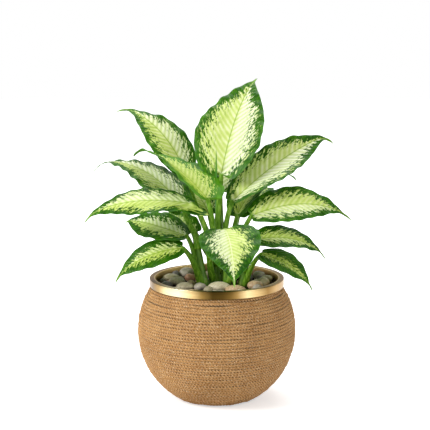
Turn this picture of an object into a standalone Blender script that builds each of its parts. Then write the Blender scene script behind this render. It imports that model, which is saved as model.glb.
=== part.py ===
"""Potted dieffenbachia: a rope-wound round pot with a brass rim, soil, pebbles and the plant.

Units are metres, +Z is up. The origin is the middle of the pot's flat foot, and the plant's
front faces -Y. Lengths in the tables are millimetres and angles are degrees.
"""
import math

import bmesh
import bpy
from mathutils import Matrix, Vector, noise

MM = 0.001
GAP = 0.3  # mm kept between pieces that touch

# Pot: a bowl cut from a sphere, with an upright neck that carries the rim.
BELLY_RADIUS = 125.0
BELLY_HEIGHT = 110.0  # the sphere's centre above the foot
ROPE_THICKNESS = 6.0
WALL = 4.0
NECK_OUTER = 102.0
NECK_WALL = 3.4
NECK_TOP = 191.0
NECK_INNER = NECK_OUTER - NECK_WALL
BOWL_OUTER = BELLY_RADIUS - ROPE_THICKNESS - GAP
BOWL_INNER = BOWL_OUTER - WALL
ROPE_FOOT = 1.0
ROPE_TOP = 181.2
ROPE_TOP_RADIUS = 103.8
POT_STEPS = 36

# Rim: a brass collar over the neck, open below like an upturned channel.
RIM_OUTER = 106.0
RIM_INNER = 97.0
RIM_TOP = 194.0
RIM_BAND_FOOT = 181.6
RIM_SKIRT_FOOT = 178.0
RIM_SHEET = 1.4
RIM_ROUND = 1.0

SOIL_TOP = 177.0
SOIL_MOUND = 0.4  # height of the soil's shallow lumps
SOCKET_DEPTH = 22.0  # how far each cane goes into the soil

# Canes: foot x, y; head x, y, z; radius at the soil, radius at the head.
CANES = {
    "cane_main": ((-4, 6), (2, 10, 258), 9.0, 5.5),
    "cane_left": ((-19, -7), (-30, -6, 243), 7.0, 5.0),
    "cane_front": ((16, -14), (15, -16, 212), 6.0, 4.5),
    "cane_right": ((39, -7), (44, -10, 206), 7.0, 5.5),
    "cane_back": ((8, 34), (8, 38, 236), 7.0, 5.0),
}
CANE_SIDES = 10

# Leaves. Each row: cane; height of the node on it; blade's base x, y, z; heading (0 is +X,
# 90 is +Y) and how far it turns along the blade; rise at the base and droop to the tip; length;
# width; roll at the base and the further twist to the tip; fold of the two halves; share of the
# length that is drawn out to a narrow tip, and how far that tip hooks down; petiole radius at
# its foot.
LEAVES = {
    "leaf_crown": ("cane_main", 258, (7, 14, 354), (65, -6), (65, 34), 193, 115, (-5, -2), 16, (0.07, 14), 5.0),
    "leaf_upper_left": ("cane_main", 232, (-49, 71, 348), (146, 7), (61, 54), 174, 73, (22, 3), 7, (0.16, 37), 4.0),
    "leaf_curled_left": ("cane_main", 220, (-19, -39, 324), (129, 22), (35, 25), 174, 98, (-7, -9), 25, (0.2, 64), 4.0),
    "leaf_mid_left": ("cane_left", 243, (-52, 11, 298), (150, 15), (52, 70), 187, 86, (19, -19), 6, (0.15, 43), 4.4),
    "leaf_broad_left": ("cane_main", 194, (-37, -42, 318), (177, -8), (9, 41), 181, 71, (12, 34), 5, (0.1, 28), 3.6),
    "leaf_low_left": ("cane_left", 212, (-47, -7, 261), (161, -36), (16, 26), 131, 65, (17, 28), 9, (0.08, 17), 3.2),
    "leaf_bottom_left": ("cane_left", 187, (-53, -27, 246), (186, -11), (-5, 50), 124, 56, (34, 6), 9, (0.10, 11), 3.6),
    "leaf_front": ("cane_front", 212, (13, -50, 279), (280, -8), (-8, 52), 137, 96, (-8, 11), 14, (0.10, -21), 3.6),
    "leaf_upper_right": ("cane_main", 236, (24, 2, 314), (25, 10), (39, 28), 218, 82, (-6, -50), 17, (0.10, 57), 4.2),
    "leaf_behind_right": ("cane_main", 206, (32, 20, 288), (47, -6), (53, 80), 160, 72, (1, 0), 26, (0.14, 21), 3.6),
    "leaf_broad_right": ("cane_front", 196, (54, -15, 295), (7, 13), (21, 59), 175, 73, (-32, -16), 12, (0.14, 12), 4.0),
    "leaf_low_right": ("cane_right", 206, (59, -25, 259), (-1, 4), (11, 61), 125, 57, (-31, 13), 11, (0.13, 21), 3.6),
    "leaf_bottom_right": ("cane_right", 190, (69, -30, 237), (-24, 0), (-9, 48), 104, 56, (-20, 11), 9, (0.12, 14), 3.6),
    "leaf_back_high": ("cane_back", 236, (6, 50, 322), (85, 8), (42, 62), 165, 78, (0, 0), 14, (0.10, 12), 4.2),
    "leaf_back_left": ("cane_back", 216, (-12, 60, 284), (114, 6), (35, 62), 150, 66, (4, 0), 13, (0.10, 12), 3.8),
    "leaf_back_right": ("cane_back", 220, (34, 48, 282), (66, -8), (35, 62), 150, 66, (-4, 0), 13, (0.10, 12), 3.8),
    "leaf_back_outer_left": ("cane_back", 196, (-34, 42, 258), (138, -4), (26, 56), 128, 58, (6, 0), 12, (0.10, 12), 3.4),
    "leaf_back_outer_right": ("cane_back", 192, (44, 36, 246), (48, 6), (14, 60), 110, 54, (-6, 0), 12, (0.10, 12), 3.4),
    "leaf_back_low": ("cane_back", 186, (10, 62, 240), (86, -6), (8, 66), 122, 58, (0, 0), 12, (0.10, 12), 3.4),
}
PETIOLE_HEAD_RADIUS = 2.6
PETIOLE_STEPS = 6
BLADE_STATIONS = (0.06, 0.13, 0.22, 0.33, 0.44, 0.55, 0.65, 0.74, 0.81, 0.87, 0.92, 0.96, 0.99)
BLADE_THICKNESS = 1.2
BLADE_ROUND = 0.70  # outline: where the widest place lies
BLADE_FULL = 0.75  # outline: how full the margin is
TIP_NARROW = 0.50  # outline: how much the drawn-out tip narrows
BASE_LOBE = 0.24  # how far the base's two lobes reach back, over the half width
TAIL_OVERLAP = 0.8  # how much of the drawn-out tip the full outline leaves free
TAIL_WIDTH = 2.4  # half the width where the drawn-out tip begins
HOOK_START = 0.8  # where along the blade the tip begins to hook down
HOOK_GROWTH = 1.2
RIB_DEPTH = 1.6  # how far the midrib stands out below, at the blade's base

# The rolled new leaf: foot and head, and its radius.
SPIKE_FOOT = (0, 20, 240)
SPIKE_HEAD = (-1, 10, 396)
SPIKE_RADIUS = 1.9

# Pebbles: centre x, y; half length, half depth, half height; turn.
PEBBLES = [
    (-66, 58, 7, 6, 6, 0), (-49, 65, 11, 9, 8, -8), (-73, 36, 13, 10, 6, 5), (-42, 36, 9, 7, 6, 0),
    (-63, 9, 13, 10, 6, -5), (-79, -8, 9, 7, 5, 10), (-50, -25, 13, 10, 6, 4), (-41, -1, 7, 6, 5, 0),
    (-26, -31, 10, 8, 6, 0), (-13, -52, 8, 6, 6, 0), (4, -31, 17, 10, 7, 3), (29, -47, 15, 11, 6, -4),
    (60, -24, 12, 9, 7, 8), (56, 67, 8, 6, 6, 0), (50, 39, 8, 7, 6, 0), (68, 48, 10, 9, 7, 5),
    (80, 28, 9, 7, 6, 20), (73, -1, 10, 8, 7, -10), (63, -41, 8, 6, 6, 10), (-30, 62, 6, 5, 6, 0),
    (-34, 80, 7, 6, 6, 0), (-86, 22, 5, 4, 4, 0), (36, 60, 11, 9, 6, 10), (10, 78, 12, 8, 6, -5),
    (-9, 64, 10, 8, 6, 15), (-62, -58, 11, 8, 6, 40), (-36, -74, 12, 9, 6, -25), (3, -79, 13, 9, 6, 5),
    (36, -77, 11, 8, 6, 20),
]

COLOURS = {
    "pot": ((0.30, 0.24, 0.18), 0.6, 0.0),
    "rope": ((0.60, 0.40, 0.20), 0.85, 0.0),
    "brass": ((0.72, 0.52, 0.24), 0.28, 1.0),
    "soil": ((0.045, 0.028, 0.018), 0.95, 0.0),
    "cane": ((0.22, 0.38, 0.07), 0.5, 0.0),
    "leaf": ((0.16, 0.36, 0.07), 0.42, 0.0),
    "pebble": ((0.34, 0.28, 0.22), 0.45, 0.0),
}


def remove_everything():
    for old in list(bpy.data.objects):
        bpy.data.objects.remove(old, do_unlink=True)


def material(name):
    colour, roughness, metallic = COLOURS[name]
    found = bpy.data.materials.get(name)
    if found:
        return found
    made = bpy.data.materials.new(name)
    made.use_nodes = True
    shader = made.node_tree.nodes["Principled BSDF"]
    shader.inputs["Base Color"].default_value = (*colour, 1.0)
    shader.inputs["Roughness"].default_value = roughness
    shader.inputs["Metallic"].default_value = metallic
    return made


def add_object(name, bm, finish, sharp_angle=40.0):
    """Turn a bmesh in millimetres into a smooth-shaded object in metres."""
    bmesh.ops.scale(bm, vec=(MM, MM, MM), verts=bm.verts)
    mesh = bpy.data.meshes.new(name)
    bm.to_mesh(mesh)
    bm.free()
    mesh.shade_smooth()
    mesh.set_sharp_from_angle(angle=math.radians(sharp_angle))
    made = bpy.data.objects.new(name, mesh)
    made.data.materials.append(material(finish))
    bpy.context.scene.collection.objects.link(made)
    return made


def turned(profile, steps):
    """Spin a closed (radius, height) outline about Z. It runs anticlockwise, so faces point out."""
    bm = bmesh.new()
    ring = [bm.verts.new((radius, 0.0, height)) for radius, height in profile]
    edges = [bm.edges.new((ring[i], ring[(i + 1) % len(ring)])) for i in range(len(ring))]
    on_axis = [e for e in edges if all(v.co.x < 1e-6 for v in e.verts)]
    bmesh.ops.delete(bm, geom=on_axis, context="EDGES_FACES")
    bmesh.ops.spin(
        bm, geom=list(bm.verts) + list(bm.edges), cent=(0, 0, 0), axis=(0, 0, 1),
        angle=2 * math.pi, steps=steps, use_duplicate=False, use_merge=True,
    )
    bmesh.ops.remove_doubles(bm, verts=bm.verts, dist=0.005)
    bmesh.ops.recalc_face_normals(bm, faces=bm.faces)
    return bm


def sphere_arc(radius, low, high, steps, offset=0.0):
    """Points (radius, height) up the sphere between two heights, at equal angles.

    An offset moves the arc out or in with its angles unchanged, so that the two faceted
    walls on either side of a gap run parallel.
    """
    first = math.asin((low - BELLY_HEIGHT) / radius)
    last = math.asin((high - BELLY_HEIGHT) / radius)
    angles = [first + (last - first) * i / steps for i in range(steps + 1)]
    moved = radius + offset
    return [(moved * math.cos(a), BELLY_HEIGHT + moved * math.sin(a)) for a in angles]


def neck_joint(radius, neck):
    """Height at which the upper half of a sphere meets the upright neck."""
    return BELLY_HEIGHT + math.sqrt(radius * radius - neck * neck)


def bowl_outside(offset=0.0):
    return sphere_arc(BOWL_OUTER, ROPE_FOOT, neck_joint(BOWL_OUTER, NECK_OUTER), 8, offset)


def bowl_inside(offset=0.0):
    return sphere_arc(BOWL_INNER, WALL, neck_joint(BOWL_INNER, NECK_INNER), 7, offset)


def make_pot():
    outer = bowl_outside()
    profile = [(0.0, 0.0), (outer[0][0] - ROPE_FOOT, 0.0)] + outer
    profile += [(NECK_OUTER, NECK_TOP), (NECK_INNER, NECK_TOP)]
    profile += bowl_inside()[::-1] + [(0.0, WALL)]
    return add_object("pot_bowl", turned(profile, POT_STEPS), "pot")


def make_rope():
    """The winding as one skin: outside on the sphere, inside along the bowl."""
    inner = bowl_outside(GAP)
    foot = inner[0][1]
    outer = sphere_arc(BELLY_RADIUS, foot, ROPE_TOP - 6.0, 9) + [(ROPE_TOP_RADIUS, ROPE_TOP)]
    profile = outer + [(NECK_OUTER + GAP, ROPE_TOP)] + inner[::-1]
    return add_object("rope_winding", turned(profile, POT_STEPS), "rope")


def make_rim():
    band_inner = RIM_OUTER - RIM_SHEET
    skirt_outer = RIM_INNER + RIM_SHEET - 0.1
    under = RIM_TOP - 2.0
    profile = [
        (band_inner, RIM_BAND_FOOT), (RIM_OUTER, RIM_BAND_FOOT), (RIM_OUTER, RIM_TOP - RIM_ROUND),
        (RIM_OUTER - RIM_ROUND, RIM_TOP), (RIM_INNER + RIM_ROUND, RIM_TOP),
        (RIM_INNER, RIM_TOP - RIM_ROUND), (RIM_INNER, RIM_SKIRT_FOOT), (skirt_outer, RIM_SKIRT_FOOT),
        (skirt_outer, under), (band_inner, under),
    ]
    return add_object("brass_rim", turned(profile, POT_STEPS), "brass")


def cane_line(name):
    """The cane's axis as a function of height, and its radius there."""
    (fx, fy), (hx, hy, hz), thick, thin = CANES[name]
    foot = Vector((fx, fy, SOIL_TOP))
    head = Vector((hx, hy, hz))

    def at(height):
        share = (height - SOIL_TOP) / (head.z - SOIL_TOP)
        return foot.lerp(head, share), thick + (thin - thick) * min(max(share, 0.0), 1.0)

    return at


def frames_along(points, first_side):
    """Tangent, side and normal at each point, with the side carried along without twist."""
    frames = []
    side = Vector(first_side)
    for i, point in enumerate(points):
        ahead = points[min(i + 1, len(points) - 1)] - points[max(i - 1, 0)]
        tangent = ahead.normalized()
        side = (side - tangent * side.dot(tangent)).normalized()
        frames.append((tangent, side.copy(), side.cross(tangent)))
    return frames


def skin_rings(rings):
    """One closed body over rings of equal count, each listed anticlockwise seen from the front."""
    bm = bmesh.new()
    loops = [[bm.verts.new(p) for p in ring] for ring in rings]
    count = len(loops[0])
    for low, high in zip(loops, loops[1:]):
        for k in range(count):
            n = (k + 1) % count
            bm.faces.new((low[k], low[n], high[n], high[k]))
    bm.faces.new(loops[0])
    bm.faces.new(loops[-1][::-1])
    bmesh.ops.triangulate(bm, faces=bm.faces)
    bmesh.ops.recalc_face_normals(bm, faces=bm.faces)
    return bm


def round_ring(centre, side, normal, radius, count):
    angles = [2 * math.pi * k / count for k in range(count)]
    return [centre + (side * math.cos(a) + normal * math.sin(a)) * radius for a in angles]


def make_cane(name, inflate=0.0):
    at = cane_line(name)
    foot_height = SOIL_TOP - SOCKET_DEPTH - inflate
    head_height = CANES[name][1][2]
    heights = [foot_height, SOIL_TOP - 6, SOIL_TOP + 4]
    heights += [SOIL_TOP + 4 + (head_height - SOIL_TOP - 4) * i / 4 for i in range(1, 5)]
    points = [at(h)[0] for h in heights]
    radii = [at(h)[1] + inflate for h in heights]
    frames = frames_along(points, (1, 0, 0))
    rings = [
        round_ring(point, side, normal, radius, CANE_SIDES)
        for point, (_, side, normal), radius in zip(points, frames, radii)
    ]
    return add_object(name, skin_rings(rings), "cane")


def make_soil():
    """The soil fills the bowl, with a shallow lumpy top and a socket for each cane."""
    neck = NECK_INNER - GAP
    side = bowl_inside(-GAP)
    bottom = side[0][1]
    top = [(neck, SOIL_TOP), (neck * 0.75, SOIL_TOP), (neck * 0.45, SOIL_TOP), (0.0, SOIL_TOP)]
    bm = turned([(0.0, bottom)] + side + top, POT_STEPS)
    for v in bm.verts:
        across = math.hypot(v.co.x, v.co.y)
        if v.co.z > SOIL_TOP - 0.1 and across < neck * 0.9:
            v.co.z += SOIL_MOUND * noise.noise(v.co * 0.05)
    soil = add_object("soil", bm, "soil")
    for name in CANES:
        cutter = make_cane(name, inflate=GAP)
        cutter.name = "socket_" + name
        cutter.hide_render = True
        cutter.display_type = "WIRE"
        cut = soil.modifiers.new(name, "BOOLEAN")
        cut.operation = "DIFFERENCE"
        cut.solver = "EXACT"
        cut.object = cutter
    return soil


def bezier(p0, p1, p2, p3, t):
    s = 1.0 - t
    return p0 * s**3 + p1 * 3 * s * s * t + p2 * 3 * s * t * t + p3 * t**3


def limited(value, low, high):
    return min(max(value, low), high)


def half_width(t, width, tail):
    """Half the blade's width at t: the full outline, joined to the drawn-out tip."""
    share = min(t / (1 - TAIL_OVERLAP * tail), 1.0)
    full = math.sin(math.pi * share**BLADE_ROUND) ** BLADE_FULL if share < 1 else 0.0
    body = width / 2 * full * (1 - TIP_NARROW * share**6)
    thin = TAIL_WIDTH * math.sqrt(limited((1 - t) / tail, 0.02, 1.0)) * limited((t - 0.3) / 0.3, 0.0, 1.0)
    return (body**3 + thin**3) ** (1 / 3)


def blade_frame(spec, t):
    """Direction of the midrib and the blade's side and normal at t along it."""
    _, _, _, (heading, sway), (rise, droop), _, _, (roll, twist), _, (_, hook), _ = spec
    turn = math.radians(heading + sway * t)
    hooked = hook * max(0.0, (t - HOOK_START) / (1 - HOOK_START)) ** HOOK_GROWTH
    pitch = math.radians(rise - droop * t**1.3 - hooked)
    along = Vector((math.cos(pitch) * math.cos(turn), math.cos(pitch) * math.sin(turn), math.sin(pitch)))
    level = Vector((math.sin(turn), -math.cos(turn), 0.0))
    rolled = Matrix.Rotation(-math.radians(roll + twist * t), 3, along)
    return along, rolled @ level, rolled @ level.cross(along)


def midrib(spec, stations, steps=60):
    """Points of the midrib at the given places along the blade."""
    point = Vector(spec[2])
    length = spec[5]
    line = [point.copy()]
    for i in range(steps):
        point = point + blade_frame(spec, (i + 0.5) / steps)[0] * (length / steps)
        line.append(point.copy())
    found = []
    for t in stations:
        i = min(int(t * steps), steps - 1)
        found.append(line[i].lerp(line[i + 1], t * steps - i))
    return found


def petiole_line(spec):
    """The stalk's centre line, from beside its cane up to the blade's base."""
    cane, height, base, _, _, _, _, _, _, _, radius = spec
    axis, cane_radius = cane_line(cane)(height)
    top = CANES[cane][1][2]
    base = Vector(base)
    along = blade_frame(spec, 0.0)[0]
    outward = Vector((base.x - axis.x, base.y - axis.y, 0.0)).normalized()
    if height >= top:
        start = axis + Vector((0, 0, GAP * 2))
        leave = Vector((0, 0, 1))
    else:
        start = axis + outward * (cane_radius + radius + GAP)
        leave = (outward * 0.3 + Vector((0, 0, 1))).normalized()
    arrive = (along + Vector((0, 0, 1.0))).normalized()
    reach = (base - start).length
    p1 = start + leave * reach * 0.35
    p2 = base - arrive * reach * 0.35
    return [bezier(start, p1, p2, base, i / PETIOLE_STEPS) for i in range(PETIOLE_STEPS)]


def blade_ring(spec, t, centre):
    """Eight points round the blade: right edge, over the top to the left edge, and back below."""
    _, side, normal = blade_frame(spec, t)
    along = blade_frame(spec, t)[0]
    half = half_width(t, spec[6], spec[9][0])
    fold = math.radians(spec[8]) * (1 - 0.5 * t)
    lobe = BASE_LOBE * spec[6] / 2 * (1 - t) ** 5
    rib = RIB_DEPTH * (1 - t)
    ring = []
    for across, lift in (
        (1.0, 0.0), (0.5, 0.5), (0.0, 0.5), (-0.5, 0.5), (-1.0, 0.0), (-0.5, -0.5), (0.0, -0.5), (0.5, -0.5),
    ):
        point = centre + side * (half * across * math.cos(fold))
        point = point + normal * (half * abs(across) * math.sin(fold) + lift * BLADE_THICKNESS)
        if across == 0.0 and lift < 0:
            point = point - normal * rib
        ring.append(point - along * (lobe * across * across))
    return ring


def make_leaf(name, spec):
    stalk = petiole_line(spec)
    ribs = midrib(spec, BLADE_STATIONS)
    points = stalk + [Vector(spec[2])] + ribs
    blade_side = blade_frame(spec, 0.0)[1]
    backwards = frames_along((stalk + [Vector(spec[2])])[::-1], blade_side)[::-1]
    rings = []
    for i, (_, side, normal) in enumerate(backwards):
        share = i / (len(backwards) - 1)
        radius = spec[-1] + (PETIOLE_HEAD_RADIUS - spec[-1]) * share
        rings.append(round_ring(points[i], side, -normal, radius, 8))
    for t, centre in zip(BLADE_STATIONS, ribs):
        rings.append(blade_ring(spec, t, centre))
    return add_object(name, skin_rings(rings), "leaf")


def make_spike():
    foot, head = Vector(SPIKE_FOOT), Vector(SPIKE_HEAD)
    shares = [0.0, 0.35, 0.7, 0.93, 1.0]
    widths = [0.8, 1.0, 0.75, 0.3, 0.08]
    points = [foot.lerp(head, s) for s in shares]
    frames = frames_along(points, (1, 0, 0))
    rings = [
        round_ring(point, side, normal, SPIKE_RADIUS * wide, 8)
        for point, (_, side, normal), wide in zip(points, frames, widths)
    ]
    return add_object("leaf_rolled", skin_rings(rings), "leaf")


def make_pebble(number, row):
    x, y, length, depth, height, turn = row
    bm = bmesh.new()
    bmesh.ops.create_icosphere(bm, subdivisions=2, radius=1.0)
    for v in bm.verts:
        v.co = v.co * (1 + 0.06 * noise.noise(v.co * 1.3 + Vector((number * 7.0, 0, 0))))
    bmesh.ops.scale(bm, vec=(length, depth, height), verts=bm.verts)
    bmesh.ops.rotate(bm, cent=(0, 0, 0), matrix=Matrix.Rotation(math.radians(turn), 3, "Z"), verts=bm.verts)
    low = min(v.co.z for v in bm.verts)
    seat = SOIL_TOP + SOIL_MOUND + GAP - low
    bmesh.ops.translate(bm, vec=(x, y, seat), verts=bm.verts)
    return add_object("pebble_%02d" % number, bm, "pebble")


def main():
    remove_everything()
    make_pot()
    make_rope()
    make_rim()
    make_soil()
    for name in CANES:
        make_cane(name)
    for name, spec in LEAVES.items():
        make_leaf(name, spec)
    make_spike()
    for number, row in enumerate(PEBBLES, start=1):
        make_pebble(number, row)


main()
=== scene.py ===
import math
import random

import bmesh
import bpy
from mathutils import Matrix, Vector, noise


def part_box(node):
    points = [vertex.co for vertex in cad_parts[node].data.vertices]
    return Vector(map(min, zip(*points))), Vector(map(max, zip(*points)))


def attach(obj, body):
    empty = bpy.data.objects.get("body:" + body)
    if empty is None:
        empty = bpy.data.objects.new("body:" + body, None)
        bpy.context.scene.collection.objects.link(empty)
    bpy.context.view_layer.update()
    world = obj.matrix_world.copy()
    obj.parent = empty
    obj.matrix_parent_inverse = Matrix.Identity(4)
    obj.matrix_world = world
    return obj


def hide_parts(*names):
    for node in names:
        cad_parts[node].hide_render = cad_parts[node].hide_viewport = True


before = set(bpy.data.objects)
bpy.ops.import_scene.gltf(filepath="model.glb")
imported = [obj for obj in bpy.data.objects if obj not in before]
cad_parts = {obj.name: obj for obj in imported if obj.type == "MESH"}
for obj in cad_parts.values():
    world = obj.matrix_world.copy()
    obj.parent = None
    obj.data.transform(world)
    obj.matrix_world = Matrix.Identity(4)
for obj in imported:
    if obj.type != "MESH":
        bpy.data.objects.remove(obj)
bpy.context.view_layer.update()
mm = 0.001


class Signal:
    def __init__(self, paint, socket):
        self.paint = paint
        self.socket = socket

    def step(self, operation, first, second=None, clamp=False):
        values = {0: first} if second is None else {0: first, 1: second}
        return self.paint.node("ShaderNodeMath", {"operation": operation, "use_clamp": clamp}, values)[0]

    def __add__(self, other):
        return self.step("ADD", self, other)

    def __sub__(self, other):
        return self.step("SUBTRACT", self, other)

    def __rsub__(self, other):
        return self.step("SUBTRACT", other, self)

    def __mul__(self, other):
        return self.step("MULTIPLY", self, other)

    def __truediv__(self, other):
        return self.step("DIVIDE", self, other)

    def __pow__(self, other):
        return self.step("POWER", self, other)

    def clamped(self):
        return self.step("ADD", self, 0.0, clamp=True)

    def sine(self):
        return self.step("SINE", self)

    def size(self):
        return self.step("ABSOLUTE", self)

    def smooth(self, low, high):  # 0 below low, 1 above high, or the other way round
        if low < high:
            return self.paint.remap(self, low, high, 0.0, 1.0)
        return self.paint.remap(self, high, low, 1.0, 0.0)


class Paint:
    def __init__(self, name):
        self.material = bpy.data.materials.new(name)
        self.material.use_nodes = True
        self.tree = self.material.node_tree
        self.tree.nodes.clear()

    def node(self, kind, settings=None, sockets=None):
        made = self.tree.nodes.new(kind)
        for key, value in (settings or {}).items():
            if key == "stops":
                self.fillRamp(made.color_ramp, value)
            else:
                setattr(made, key, value)
        for key, value in (sockets or {}).items():
            target = made.inputs[key]
            if isinstance(value, Signal):
                self.tree.links.new(value.socket, target)
            else:
                target.default_value = value
        return [Signal(self, out) for out in made.outputs]

    def fillRamp(self, ramp, stops):
        while len(ramp.elements) > 1:
            ramp.elements.remove(ramp.elements[-1])
        for index, (place, colour) in enumerate(stops):
            stop = ramp.elements[0] if index == 0 else ramp.elements.new(place)
            stop.position = place
            stop.color = (*colour, 1.0)

    def remap(self, value, low, high, outLow, outHigh):
        settings = {"interpolation_type": "SMOOTHSTEP"}
        sockets = {"Value": value, "From Min": low, "From Max": high, "To Min": outLow, "To Max": outHigh}
        return self.node("ShaderNodeMapRange", settings, sockets)[0]

    def attribute(self, name):
        return self.node("ShaderNodeAttribute", {"attribute_name": name})[2]

    def place(self):
        return self.node("ShaderNodeTexCoord")[3]

    def joined(self, x, y, z):
        return self.node("ShaderNodeCombineXYZ", None, {0: x, 1: y, 2: z})[0]

    def split(self, vector):
        return self.node("ShaderNodeSeparateXYZ", None, {0: vector})

    def stretched(self, vector, scale, turn=(0, 0, 0)):
        return self.node("ShaderNodeMapping", None, {"Vector": vector, "Scale": scale, "Rotation": turn})[0]

    def noise(self, vector, scale, detail=2.0, roughness=0.5, distortion=0.0):
        sockets = {
            "Vector": vector, "Scale": scale, "Detail": detail, "Roughness": roughness,
            "Distortion": distortion,
        }
        return self.node("ShaderNodeTexNoise", None, sockets)[0]

    def ramp(self, value, stops):
        return self.node("ShaderNodeValToRGB", {"stops": stops}, {0: value})[0]

    def mix(self, share, first, second):
        sockets = {0: share, 6: self.full(first), 7: self.full(second)}
        return self.node("ShaderNodeMix", {"data_type": "RGBA"}, sockets)[2]

    def full(self, colour):
        return colour if isinstance(colour, Signal) else (*colour[:3], 1.0)

    def bump(self, height, distance, strength=1.0):
        sockets = {"Height": height, "Distance": distance, "Strength": strength}
        return self.node("ShaderNodeBump", None, sockets)[0]

    def finish(self, **sockets):
        names = {
            "colour": "Base Color", "roughness": "Roughness", "metallic": "Metallic", "normal": "Normal",
            "specular": "Specular IOR Level", "glow": "Emission Color", "glowStrength": "Emission Strength",
        }
        made = {names[key]: self.full(v) if key in ("colour", "glow") else v for key, v in sockets.items()}
        shader = self.node("ShaderNodeBsdfPrincipled", None, made)[0]
        self.node("ShaderNodeOutputMaterial", None, {0: shader})
        return self.material


def shade(red, green, blue):  # a screen colour of 0 to 255 as the shader's own value
    def plain(value):
        value = value / 255
        return value / 12.92 if value <= 0.04045 else ((value + 0.055) / 1.055) ** 2.4
    return (plain(red), plain(green), plain(blue))


def deselectAll():
    if bpy.context.mode != "OBJECT":
        bpy.ops.object.mode_set(mode="OBJECT")
    bpy.ops.object.select_all(action="DESELECT")


def only(piece):
    deselectAll()
    piece.select_set(True)
    bpy.context.view_layer.objects.active = piece


def meshPiece(name, points, faces, values=None):
    mesh = bpy.data.meshes.new(name)
    mesh.from_pydata(points, [], faces)
    mesh.update()
    for key, numbers in (values or {}).items():
        store = mesh.attributes.new(key, "FLOAT", "POINT")
        store.data.foreach_set("value", numbers)
    mesh.shade_smooth()
    piece = bpy.data.objects.new(name, mesh)
    bpy.context.scene.collection.objects.link(piece)
    return piece


def tubeFaces(rings, around):  # quads between the rings, and a cap at each end
    faces = []
    for i in range(rings - 1):
        for k in range(around):
            n = (k + 1) % around
            faces.append((i * around + k, i * around + n, (i + 1) * around + n, (i + 1) * around + k))
    faces.append(tuple(range(around - 1, -1, -1)))
    faces.append(tuple((rings - 1) * around + k for k in range(around)))
    return faces


def faceOutward(piece):
    only(piece)
    bpy.ops.object.mode_set(mode="EDIT")
    bpy.ops.mesh.select_all(action="SELECT")
    bpy.ops.mesh.normals_make_consistent(inside=False)
    bpy.ops.object.mode_set(mode="OBJECT")


def settle(piece, material, nodes=()):
    piece.data.materials.clear()
    piece.data.materials.append(material)
    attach(piece, "root")
    if nodes:
        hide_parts(*nodes)
    return piece


view = {
    "eye": (-0.0028, -2.4, 0.7267),
    "target": (-0.0028, 0.0, 0.2933),
    "lens": 130.3,
    "worldStrength": 0.46,
    "floorGlow": 0.52,
    "floorFade": (0.25, 1.3),  # where the floor starts to turn white, and where it is white
    "lightTarget": (0, 0, 0.25),
    "lights": {  # place, size and power
        "keyLight": ((-2.1, -1.05, 1.55), 1.1, 56.0),
        "fillLight": ((1.7, -1.3, 0.9), 1.4, 11.0),
        "topLight": ((0.1, 0.9, 2.0), 1.6, 24.0),
    },
}


def aimed(location, target):
    return (Vector(target) - Vector(location)).to_track_quat("-Z", "Y").to_euler()


def makeCamera():
    data = bpy.data.cameras.new("camera")
    data.lens = view["lens"]
    data.sensor_width = 36.0
    data.clip_end = 50.0
    camera = bpy.data.objects.new("camera", data)
    camera.location = view["eye"]
    camera.rotation_euler = aimed(view["eye"], view["target"])
    bpy.context.scene.collection.objects.link(camera)
    bpy.context.scene.camera = camera


def areaLight(name, location, size, power):
    data = bpy.data.lights.new(name, "AREA")
    data.shape = "SQUARE"
    data.size = size
    data.energy = power
    light = bpy.data.objects.new(name, data)
    light.location = location
    light.rotation_euler = aimed(location, view["lightTarget"])
    bpy.context.scene.collection.objects.link(light)


def makeWorld():
    world = bpy.data.worlds.new("studio")
    world.use_nodes = True
    tree = world.node_tree
    tree.nodes.clear()
    path = tree.nodes.new("ShaderNodeLightPath")
    seen = tree.nodes.new("ShaderNodeMath")
    seen.operation = "ADD"
    seen.use_clamp = True
    tree.links.new(path.outputs["Is Camera Ray"], seen.inputs[0])
    tree.links.new(path.outputs["Is Transmission Ray"], seen.inputs[1])
    strength = tree.nodes.new("ShaderNodeMapRange")
    strength.inputs["To Min"].default_value = view["worldStrength"]
    strength.inputs["To Max"].default_value = 1.0
    tree.links.new(seen.outputs[0], strength.inputs["Value"])
    background = tree.nodes.new("ShaderNodeBackground")
    background.inputs["Color"].default_value = (1.0, 1.0, 1.0, 1.0)
    tree.links.new(strength.outputs[0], background.inputs["Strength"])
    output = tree.nodes.new("ShaderNodeOutputWorld")
    tree.links.new(background.outputs[0], output.inputs["Surface"])
    bpy.context.scene.world = world


def makeFloor():
    deselectAll()
    bpy.ops.mesh.primitive_plane_add(size=1.0, location=(0, 0, 0))
    floor = bpy.context.object
    floor.name = "floor"
    bpy.ops.object.mode_set(mode="EDIT")
    bpy.ops.transform.resize(value=(9.0, 9.0, 1.0))
    bpy.ops.object.mode_set(mode="OBJECT")
    paint = Paint("palePaper")
    path = paint.node("ShaderNodeLightPath")
    seen = (path[0] + path[3] + path[6]).clamped()
    x, y, _ = paint.split(paint.place())
    far = ((x * x + y * y) ** 0.5).smooth(*view["floorFade"])
    share = seen * (far * (1.0 - view["floorGlow"]) + view["floorGlow"])
    glow = paint.mix(share, (0.0, 0.0, 0.0), (1.0, 1.0, 1.0))
    floor.data.materials.append(paint.finish(
        colour=(0.88, 0.88, 0.88), roughness=0.9, specular=0.1, glow=glow, glowStrength=1.0))


print("stage: camera, light and floor")
makeCamera()
makeWorld()
makeFloor()
for lightName, (lightPlace, lightSize, lightPower) in view["lights"].items():
    areaLight(lightName, lightPlace, lightSize, lightPower)
bpy.context.scene.view_settings.view_transform = "Standard"


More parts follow.
